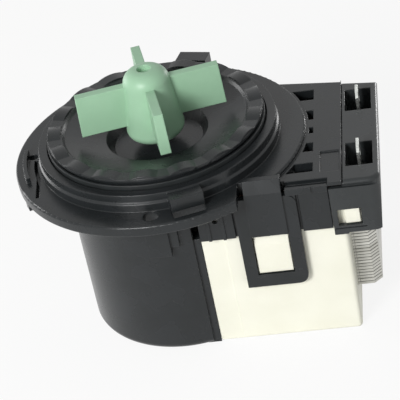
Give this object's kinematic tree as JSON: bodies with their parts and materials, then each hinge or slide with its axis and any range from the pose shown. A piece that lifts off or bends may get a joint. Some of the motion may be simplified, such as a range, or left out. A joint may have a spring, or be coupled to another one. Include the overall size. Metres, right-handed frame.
{
  "type": "drain pump",
  "caption": "Washing machine drain pump with a round bayonet flange, bladed impeller, rotor in a sealed can, coil cover held by snap loops and two spade terminals.",
  "frame": {"origin": "on the rotor axis, in the flange face that meets the sump", "axes": "+Z along the rotor axis towards the impeller, +X towards the terminals, +Y away from the pictured side"},
  "size_m": [0.099, 0.0796, 0.0737],
  "materials": {
    "black_plastic": "fine moulded, low sheen",
    "cream_plastic": "smooth moulded",
    "green_plastic": "smooth moulded, slightly translucent",
    "white_plastic": "smooth moulded",
    "cutout_plastic": "smooth",
    "rubber": "matte",
    "lamination_steel": "stacked sheet edges",
    "winding": "enamelled copper wire",
    "tinned_brass": "tin plated",
    "bush_material": "graphite filled",
    "ferrite": "sintered",
    "shaft_steel": "ground"
  },
  "bodies": {
    "pump_body": {"front_housing": "black_plastic", "terminal_housing": "black_plastic", "rear_shroud": "black_plastic", "coil_cover": "cream_plastic", "yoke_stack": "lamination_steel", "pole_arm_front": "lamination_steel", "pole_arm_rear": "lamination_steel", "bobbin_front": "white_plastic", "bobbin_rear": "white_plastic", "winding_front": "winding", "winding_rear": "winding", "thermal_cutout": "cutout_plastic", "terminal_front": "tinned_brass", "terminal_rear": "tinned_brass", "bearing_carrier": "black_plastic", "chamber_seal": "rubber", "can_seal": "rubber", "front_bush": "bush_material", "rear_bush": "bush_material", "front_bush_seat": "rubber", "rear_bush_seat": "rubber"},
    "rotor": {"rotor_magnet": "ferrite", "rotor_core": "white_plastic", "rotor_shaft": "shaft_steel", "drive_dog": "white_plastic", "thrust_washer_front": "white_plastic", "thrust_washer_rear": "white_plastic"},
    "impeller_wheel": {"impeller": "green_plastic", "impeller_cap": "green_plastic", "drive_pad_left": "rubber", "drive_pad_right": "rubber"}
  },
  "joints": [
    {"name": "rotor_spin", "type": "hinge", "parent": "pump_body", "child": "rotor", "pos_m": [0, 0, 0], "axis": [0, 0, 1], "continuous": true},
    {"name": "impeller_play", "type": "hinge", "parent": "rotor", "child": "impeller_wheel", "pos_m": [0, 0, 0], "axis": [0, 0, 1], "range_deg": [-110, 110]}
  ]
}
